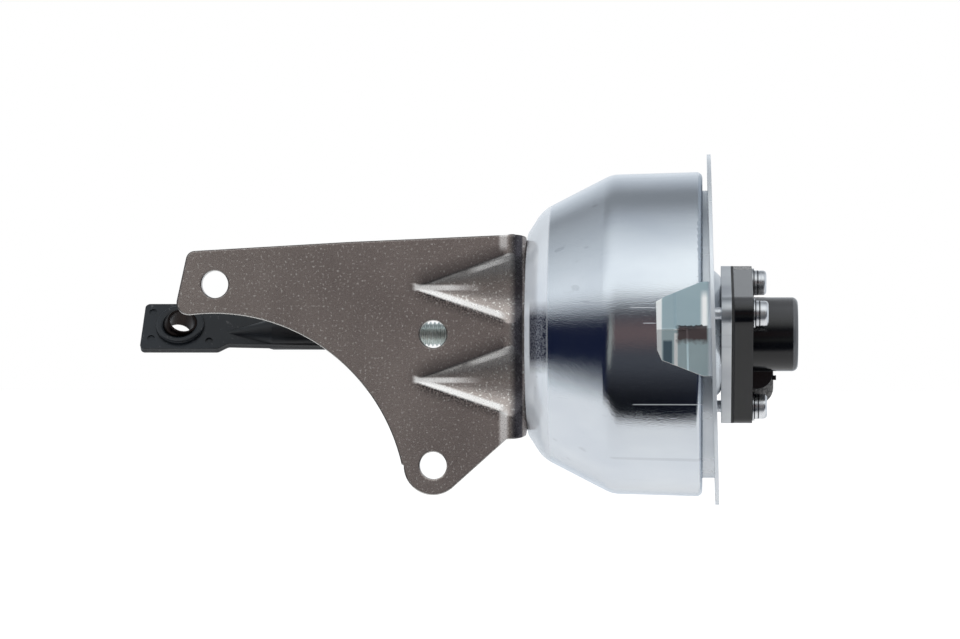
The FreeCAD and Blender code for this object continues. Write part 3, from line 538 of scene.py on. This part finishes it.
looks = {
    "bracket_steel": bracket_look(),
    "bright_zinc": can_look(),
    "cover_zinc": cover_look(),
    "light_zinc": plated_look(
        "light_zinc", colour(206, 209, 211), colour(188, 191, 196), rough=0.34, depth=0.012 * mm
    ),
    "fastener_zinc": fastener_look(),
    "rod_steel": turned_look(
        "rod_steel", colour(222, 228, 226), colour(186, 196, 194), rough=0.3, lines=3000
    ),
    "black_coat": coated_look(
        "black_coat", colour(14, 18, 23), colour(24, 29, 35), rough=0.34, grain=2600, depth=0.01 * mm
    ),
    "ball_steel": turned_look("ball_steel", colour(44, 37, 35), colour(24, 21, 20), rough=0.3, lines=3200),
    "inner_steel": plated_look(
        "inner_steel", colour(176, 177, 180), colour(150, 152, 156), rough=0.38, depth=0.01 * mm
    ),
    "spring_steel": turned_look(
        "spring_steel", colour(132, 132, 136), colour(92, 92, 97), rough=0.3, lines=2800
    ),
    "bronze": turned_look("bronze", colour(186, 150, 104), colour(150, 116, 76), rough=0.45, lines=2600),
    "rubber_black": rubber_look(),
    "black_gloss": sensor_look(),
    "pale_plastic": plastic_look(
        "pale_plastic", colour(196, 194, 186), colour(182, 180, 171), rough=0.5, grain=2000, depth=0.01 * mm
    ),
    "track_board": track_look(),
    "contact_brass": turned_look(
        "contact_brass", colour(222, 196, 140), colour(190, 160, 100), rough=0.25, lines=3000
    ),
}
for entry in frame["record"]["subparts"]:
    node = nodes[entry["node"]]
    node.data.materials.clear()
    node.data.materials.append(looks[entry["material_slot"]])


def new_piece(name, points, faces, slot, body=None):
    """A new mesh that stands in for a solid and rides on body, if one is given."""
    mesh = bpy.data.meshes.new(name)
    mesh.from_pydata(points, [], faces)
    mesh.validate()
    mesh.polygons.foreach_set("use_smooth", [True] * len(mesh.polygons))
    mesh.materials.append(looks[slot])
    piece = bpy.data.objects.new(name, mesh)
    bpy.context.scene.collection.objects.link(piece)
    piece.data.set_sharp_from_angle(angle=math.radians(35))
    if body:
        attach(piece, body)
    return piece


def skin(rings, closed_ends):
    """Points and faces of a tube through rings of equal count; the ends are filled or left open."""
    count = len(rings[0])
    points = [p for ring in rings for p in ring]
    faces = []
    for i in range(len(rings) - 1):
        for k in range(count):
            a = i * count + k
            b = i * count + (k + 1) % count
            faces.append((a, b, b + count, a + count))
    if closed_ends:
        faces.append(tuple(reversed(range(count))))
        faces.append(tuple(range(len(points) - count, len(points))))
    return points, faces


def ring_about_axis(x, r, count):
    """A circle about the actuator's axis; r is a number or a function of the angle."""
    ring = []
    for k in range(count):
        angle = k * (2 * math.pi / count)
        reach = r(angle) if callable(r) else r
        ring.append((x, axis_y + reach * math.cos(angle), reach * math.sin(angle)))
    return ring


def threaded_rod():
    """The rod with its rolled thread: a helical ridge that fades out at both ends of its length."""
    low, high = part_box("actuator_rod")
    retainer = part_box("diaphragm_retainer")
    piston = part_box("piston_cup")
    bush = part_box("guide_bush")
    rod_r = 3.0 * mm
    collar_r = (high.y - low.y) / 2
    neck_r = 2.4 * mm
    head_r = 4.2 * mm
    head_height = 2.0 * mm
    pitch = 1.0 * mm
    thread_depth = 0.6 * mm
    thread_end = 5.5 * mm
    runout = 1.5 * mm
    crest = 0.12
    flank = 0.74
    chamfer = 0.6 * mm
    small_chamfer = 0.3 * mm
    step = pitch / 10
    count = 60
    collar_start = bush[1].x + 0.1 * mm
    neck_end = piston[0].x + 1.0 * mm
    rings = [ring_about_axis(low.x, rod_r - chamfer, count)]
    x = low.x + chamfer
    while x < thread_end:
        fade = min(1.0, (x - low.x - chamfer) / runout, (thread_end - x) / runout)

        def radius(angle, x=x, fade=fade):
            phase = (x / pitch + angle / (2 * math.pi)) % 1.0
            ridge = abs(2 * phase - 1)
            cut = min(1.0, max(0.0, (ridge - crest) / flank))
            return rod_r - thread_depth * fade * cut

        rings.append(ring_about_axis(x, radius, count))
        x += step
    profile = [
        (thread_end, rod_r),
        (collar_start, rod_r),
        (collar_start, collar_r - small_chamfer),
        (collar_start + small_chamfer, collar_r),
        (retainer[0].x, collar_r),
        (retainer[0].x, neck_r),
        (neck_end, neck_r),
        (neck_end, head_r),
        (neck_end + head_height - small_chamfer, head_r),
        (neck_end + head_height, head_r - small_chamfer),
    ]
    rings += [ring_about_axis(px, pr, count) for px, pr in profile]
    piece = new_piece("threaded_rod", *skin(rings, True), "rod_steel", "rod")
    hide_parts("actuator_rod")


def spring(name, node, wire_r, turns, closed_turns):
    """A compression spring with closed ends."""
    low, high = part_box(node)
    coil_r = (high.z - low.z) / 2 - wire_r
    wire_points = 10
    per_turn = 40
    steps = int(turns * per_turn)
    start = low.x + wire_r
    free = high.x - low.x - 2 * wire_r
    closed_pitch = 2 * wire_r
    open_turns = turns - 2 * closed_turns
    open_pitch = (free - 2 * closed_turns * closed_pitch) / open_turns
    rings = []
    for i in range(steps + 1):
        t = i / per_turn
        first = min(t, closed_turns)
        middle = min(max(t - closed_turns, 0.0), open_turns)
        last = max(t - closed_turns - open_turns, 0.0)
        x = start + (first + last) * closed_pitch + middle * open_pitch
        angle = 2 * math.pi * t
        out = Vector((0, math.cos(angle), math.sin(angle)))
        centre = Vector((x, axis_y, 0)) + out * coil_r
        ring = []
        for k in range(wire_points):
            turn = 2 * math.pi * k / wire_points
            across = Vector((wire_r * math.sin(turn), 0, 0))
            ring.append(tuple(centre + out * (wire_r * math.cos(turn)) + across))
        rings.append(ring)
    piece = new_piece(name, *skin(rings, True), "spring_steel", "housing")
    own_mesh(piece)
    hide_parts(node)


def rolling_diaphragm():
    """The moulded diaphragm: a clamped rim, one shallow roll, the side wall and the flat crown."""
    low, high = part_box("diaphragm")
    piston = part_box("piston_cup")
    wall = 0.8 * mm
    rim_r = (high.z - low.z) / 2
    side_r = (piston[1].z - piston[0].z) / 2 + 0.7 * mm
    shelf_r = 29.5 * mm
    neck_r = 2.5 * mm
    roll = 1.2 * mm
    corner = 2.2 * mm
    crown_x = low.x + wall / 2
    rim_x = high.x - wall / 2
    roll_x = rim_x - roll * 0.3
    flare_start = rim_x - 9.0 * mm
    flare_steps = 12
    side_steps = 14
    corner_steps = 6
    count = 96

    centre_line = [(rim_x, rim_r), (rim_x, shelf_r + roll)]
    for i in range(flare_steps + 1):
        t = i / flare_steps
        ease = t * t * (3 - 2 * t)
        centre_line.append((roll_x - (roll_x - flare_start) * t, shelf_r + (side_r - shelf_r) * ease))
    for i in range(1, side_steps):
        t = i / side_steps
        centre_line.append((flare_start + (crown_x + corner - flare_start) * t, side_r))
    for i in range(corner_steps + 1):
        turn = i / corner_steps * math.pi / 2
        inward = corner * (1 - math.cos(turn))
        centre_line.append((crown_x + corner * (1 - math.sin(turn)), side_r - inward))
    centre_line.append((crown_x, neck_r))

    sides = []
    for i in range(len(centre_line)):
        before = centre_line[max(i - 1, 0)]
        after = centre_line[min(i + 1, len(centre_line) - 1)]
        dx, dr = after[0] - before[0], after[1] - before[1]
        size = math.hypot(dx, dr)
        sides.append((-dr / size * wall / 2, dx / size * wall / 2))
    outer = [(x + sx, r + sr) for (x, r), (sx, sr) in zip(centre_line, sides)]
    inner = [(x - sx, r - sr) for (x, r), (sx, sr) in zip(centre_line, sides)]
    section = outer + inner[::-1]
    rings = [ring_about_axis(x, r, count) for x, r in section + section[:1]]
    piece = new_piece("rolling_diaphragm", *skin(rings, False), "rubber_black")
    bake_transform(piece)
    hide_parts("diaphragm")


threaded_rod()
spring(
    "main_spring",
    "return_spring",
    wire_r=1.2 * mm,
    turns=7.0,
    closed_turns=1.0,
)
spring(
    "sensor_spring",
    "plunger_spring",
    wire_r=0.25 * mm,
    turns=18.0,
    closed_turns=1.5,
)
rolling_diaphragm()


def stage_piece(name, points, faces, material):
    """A mesh of the set, which is no piece of the part."""
    mesh = bpy.data.meshes.new(name)
    mesh.from_pydata(points, [], faces)
    mesh.materials.append(material)
    piece = bpy.data.objects.new(name, mesh)
    bpy.context.scene.collection.objects.link(piece)
    return piece


def add_floor():
    """A white floor that glows a little for the camera and hardly at all in reflections."""
    floor_z = -0.13
    reach = 6.0
    look = Look("floor")
    look.set(Base_Color=(0.8, 0.8, 0.8, 1.0), Roughness=0.9)
    rays = look.tree.nodes.new("ShaderNodeLightPath").outputs
    strength = look.total(look.times(rays["Is Camera Ray"], 0.7), look.times(rays["Is Glossy Ray"], 0.06))
    glow = look.add("ShaderNodeEmission", {"Color": (1, 1, 1, 1), "Strength": strength})
    both = look.add("ShaderNodeAddShader", {0: look.shader.outputs[0], 1: glow.outputs[0]})
    look.finish(both.outputs[0])
    corners = [(x * reach, y * reach, floor_z) for x, y in ((-1, -1), (1, -1), (1, 1), (-1, 1))]
    stage_piece("floor", corners, [(0, 1, 2, 3)], look.material)


def surround_look():
    """A dark room under a bright sky, by direction.

    Rise is 1 overhead, ahead is 1 in front, where the camera is, and aside is 1 to the left and right.
    """
    look = Look("dark_surround")
    span = look.add("ShaderNodeVectorMath", {0: look.place}, operation="LENGTH").outputs["Value"]
    rise = look.math("DIVIDE", look.part(look.place, "Z"), span)
    ahead = look.math("DIVIDE", look.part(look.place, "Y"), look.times(span, -1.0))
    aside = look.math("ABSOLUTE", look.math("DIVIDE", look.part(look.place, "X"), span))

    brown = look.times(look.remap(look.away(rise, 0.02), 0.22, 0.08), look.remap(aside, 0.6, 0.3))
    doorway = look.times(look.band(aside, 0.25, 0.44, 0.04), look.band(rise, -0.3, 0.12, 0.12))
    table = look.mix(look.remap(rise, -0.35, -0.7), colour(70, 72, 78), colour(16, 18, 22))
    dark = look.mix(look.remap(aside, 0.25, 0.6), table, colour(20, 27, 50))
    dark = look.mix(brown, dark, colour(106, 90, 90))
    dark = look.mix(doorway, dark, colour(146, 149, 144))

    overhead = look.remap(look.total(rise, look.times(aside, 0.18)), 0.3, 0.57)
    open_side = look.remap(ahead, 0.3, 0.25)
    open_low = look.times(
        look.math("POWER", look.remap(ahead, 0.616, 0.416), 2.0),
        look.remap(rise, -0.28, -0.42),
        look.remap(aside, 0.4, 0.6),
    )
    bright = look.largest(overhead, open_side, open_low)

    from_front = look.remap(ahead, -0.4, 0.6, 0.2, 1.08)
    from_back = look.remap(ahead, -0.45, -0.95, 0.2, 0.9)
    from_side = look.remap(aside, 0.4, 0.9, 0.3, 0.85)
    sky = look.largest(from_side, from_front, from_back)
    sky_colour = look.mix(look.remap(ahead, 0.0, 0.6), colour(243, 249, 255), colour(252, 255, 255))

    inputs = {"Color": look.mix(bright, dark, sky_colour), "Strength": look.mix_numbers(bright, 1.0, sky)}
    look.finish(look.add("ShaderNodeEmission", inputs).outputs[0])
    return look.material


def add_surround():
    """A dome that only reflections see; its foot comes close to the part and is narrower in front."""
    count = 72
    dome_r = 1.6
    foot_x = 0.05
    foot_z = -0.125
    foot_r = 0.19
    front_foot_r = 0.066
    turns = [2 * math.pi * k / count for k in range(count)]
    foot = []
    for turn in turns:
        front = max(0.0, -math.sin(turn)) ** 2
        near = foot_r + (front_foot_r - foot_r) * front
        foot.append((foot_x + near * math.cos(turn), near * math.sin(turn), foot_z))
    rings = [foot]
    for elevation in (0, 15, 30, 50, 70, 89):
        ring_r = dome_r * math.cos(math.radians(elevation))
        ring_z = dome_r * math.sin(math.radians(elevation))
        rings.append([(ring_r * math.cos(turn), ring_r * math.sin(turn), ring_z) for turn in turns])
    dome = stage_piece("dark_surround", *skin(rings, False), surround_look())
    dome.visible_camera = False
    dome.visible_diffuse = False
    dome.visible_shadow = False
    dome.visible_transmission = False


def add_world():
    """A white world: full strength for the camera and in reflections, dimmer as a light."""
    world = bpy.data.worlds.new("studio")
    bpy.context.scene.world = world
    world.use_nodes = True
    tree = world.node_tree
    rays = tree.nodes.new("ShaderNodeLightPath").outputs
    seen = rays["Is Camera Ray"]
    for name in ("Is Glossy Ray", "Is Transmission Ray"):
        either = tree.nodes.new("ShaderNodeMath")
        either.operation = "MAXIMUM"
        tree.links.new(seen, either.inputs[0])
        tree.links.new(rays[name], either.inputs[1])
        seen = either.outputs[0]
    strength = tree.nodes.new("ShaderNodeMapRange")
    strength.inputs["To Min"].default_value = 0.45
    strength.inputs["To Max"].default_value = 1.0
    tree.links.new(seen, strength.inputs["Value"])
    background = tree.nodes["Background"]
    background.inputs["Color"].default_value = (1, 1, 1, 1)
    tree.links.new(strength.outputs[0], background.inputs["Strength"])


def add_lamp(name, place, size_x, size_y, power):
    """A soft rectangular lamp that looks at the origin and isn't seen in reflections."""
    light = bpy.data.lights.new(name, "AREA")
    light.shape = "RECTANGLE"
    light.size = size_x
    light.size_y = size_y
    light.energy = power
    lamp = bpy.data.objects.new(name, light)
    lamp.location = place
    lamp.rotation_euler = (-Vector(place)).to_track_quat("-Z", "Y").to_euler()
    lamp.visible_glossy = False
    bpy.context.scene.collection.objects.link(lamp)


def add_camera():
    """The camera that sees the part as the picture does."""
    data = bpy.data.cameras.new("camera")
    data.lens = camera_lens
    data.sensor_width = camera_sensor
    data.clip_start = 0.05
    data.clip_end = 30
    camera = bpy.data.objects.new("camera", data)
    camera.location = camera_place
    camera.rotation_euler = (camera_target - camera_place).to_track_quat("-Z", "Y").to_euler()
    bpy.context.scene.collection.objects.link(camera)
    bpy.context.scene.camera = camera


add_floor()
add_surround()
add_world()
add_lamp("front_top_softbox", place=(-0.1, -0.85, 0.62), size_x=1.3, size_y=0.5, power=7.0)
add_lamp("back_top_softbox", place=(0.1, 0.55, 0.8), size_x=1.2, size_y=0.6, power=5.0)
add_camera()
bpy.context.scene.view_settings.view_transform = "Standard"
